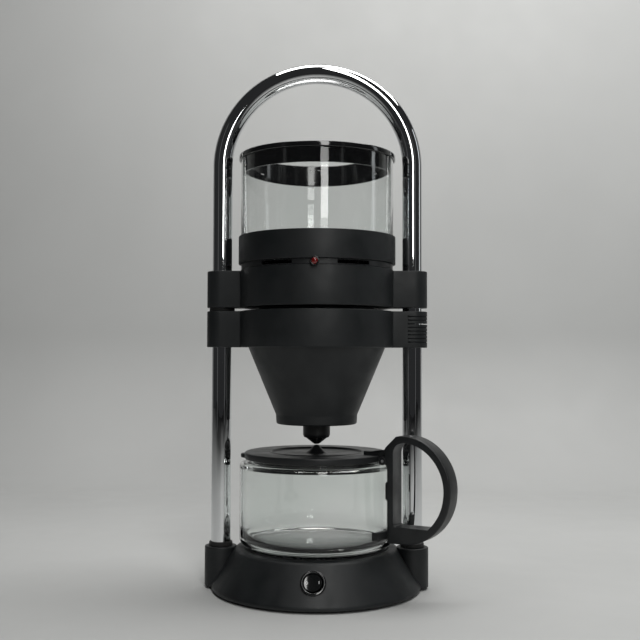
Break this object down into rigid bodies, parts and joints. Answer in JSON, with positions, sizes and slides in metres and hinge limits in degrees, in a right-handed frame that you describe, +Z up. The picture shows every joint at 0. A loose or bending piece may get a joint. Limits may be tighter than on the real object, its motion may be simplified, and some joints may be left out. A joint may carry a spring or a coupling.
{
  "type": "filter coffee maker",
  "caption": "Electric filter coffee maker: round base with hot plate, tall chromed arch frame, glass water tank and boiler on top, swing-out filter holder and lidded glass jug.",
  "frame": {"origin": "on the floor under the middle of the round base, at the pad under the bottom cover", "axes": "+Z up, the switch at the front on -Y, the frame's legs on the X axis"},
  "size_m": [0.2245, 0.1936, 0.4802],
  "materials": {
    "matte_black": "fine moulded grain, low sheen",
    "satin_black": "satin moulded black",
    "gloss_black": "polished black",
    "rubber": "matt soft rubber",
    "chrome": "mirror chrome plate on steel tube",
    "steel": "plain bright steel",
    "glass": "clear heat-resistant glass",
    "lamp_red": "translucent red",
    "silicone": "translucent grey silicone",
    "brass": "turned brass"
  },
  "bodies": {
    "machine": {"base_housing": "matte_black", "bottom_cover": "matte_black", "boiler_housing": "matte_black", "boiler_collar": "matte_black", "vent_band": "satin_black", "shower_plate": "satin_black", "hot_plate": "gloss_black", "switch_body": "gloss_black", "tank_rim": "gloss_black", "foot_1": "rubber", "foot_2": "rubber", "foot_3": "rubber", "foot_4": "rubber", "tube_grommet_left": "rubber", "tube_grommet_right": "rubber", "hot_plate_seal": "rubber", "cord_gland": "rubber", "hinge_spacer": "rubber", "frame_tube": "chrome", "cover_screw_1": "steel", "cover_screw_2": "steel", "cover_screw_3": "steel", "cover_screw_4": "steel", "frame_screw_left": "steel", "frame_screw_right": "steel", "tube_plug_left": "steel", "tube_plug_right": "steel", "hot_plate_heater": "steel", "base_thermostat": "steel", "lug_screw_left": "steel", "lug_screw_right": "steel", "boiler_plate": "steel", "boiler_heater": "steel", "boiler_thermostat": "steel", "tank_glass": "glass", "lamp_bezel": "gloss_black", "indicator_lens": "lamp_red", "tank_gasket": "silicone", "outlet_seat": "brass"},
    "filter": {"filter_holder": "matte_black", "hinge_bush": "satin_black", "filter_cone": "matte_black", "nozzle_sleeve": "satin_black", "drip_stop_spring": "steel"},
    "drip_stop": {"drip_stop_plunger": "gloss_black", "drip_stop_seal": "silicone"},
    "jug": {"jug_glass": "glass", "jug_handle": "satin_black", "handle_pad_lower": "silicone", "handle_pad_upper": "silicone", "lid_hinge_pin": "steel"},
    "lid": {"jug_lid": "satin_black"},
    "rocker": {"switch_rocker": "gloss_black"},
    "valve": {"outlet_valve": "satin_black"}
  },
  "joints": [
    {"name": "filter_swing", "type": "hinge", "parent": "machine", "child": "filter", "pos_m": [-0.08725, 0, 0.2345], "axis": [0, 0, -1], "range_deg": [0, 110]},
    {"name": "drip_stop_lift", "type": "slide", "parent": "filter", "child": "drip_stop", "axis": [0, 0, 1], "range_m": [0, 0.003], "stiffness_N_per_m": 200, "springref_m": -0.004, "deforming": ["drip_stop_spring"]},
    {"name": "jug_slide", "type": "slide", "parent": "machine", "child": "jug", "axis": [0, -1, 0], "range_m": [0, 0.3]},
    {"name": "lid_hinge", "type": "hinge", "parent": "jug", "child": "lid", "pos_m": [0.06234, -0.03315, 0.119], "axis": [0.4695, 0.8829, 0], "range_deg": [0, 17]},
    {"name": "switch_tilt", "type": "hinge", "parent": "machine", "child": "rocker", "pos_m": [0, -0.08034, 0.02082], "axis": [0, 0.5571, 0.8305], "range_deg": [0, 14]},
    {"name": "valve_lift", "type": "slide", "parent": "machine", "child": "valve", "axis": [0, 0, 1], "range_m": [0, 0.0025], "stiffness_N_per_m": 120, "springref_m": -0.003}
  ],
  "couplings": [
    {"joint": "lid_hinge", "follows": "jug_slide", "rad_per_m": 0.98902}
  ]
}
